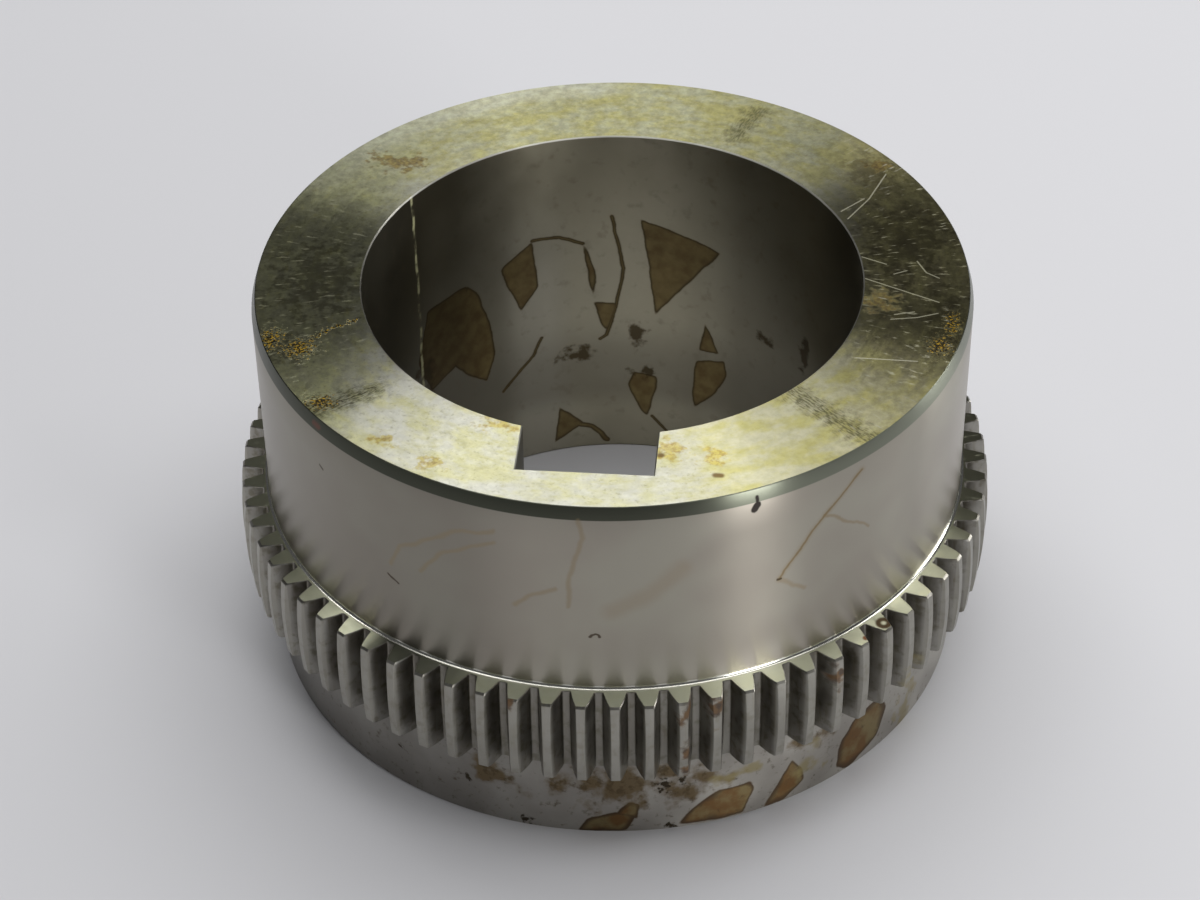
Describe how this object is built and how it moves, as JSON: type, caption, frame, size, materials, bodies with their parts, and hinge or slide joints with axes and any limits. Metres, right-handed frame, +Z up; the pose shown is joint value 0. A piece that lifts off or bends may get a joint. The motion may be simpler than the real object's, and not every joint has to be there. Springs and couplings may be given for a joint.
{
  "type": "gear coupling hub",
  "caption": "Turned steel coupling hub with a keyed bore and a ring of crowned external teeth between a short collar and a long plain barrel.",
  "frame": {"origin": "centre of the collar end of the bore, on the face that the hub stands on", "axes": "+Z up along the bore axis towards the barrel end, -Y towards the keyway"},
  "size_m": [0.193, 0.193, 0.1046],
  "materials": {
    "hub_steel": "turned bare steel with an oil film, stains and light rust"
  },
  "bodies": {
    "root": {"hub": "hub_steel"}
  },
  "joints": []
}
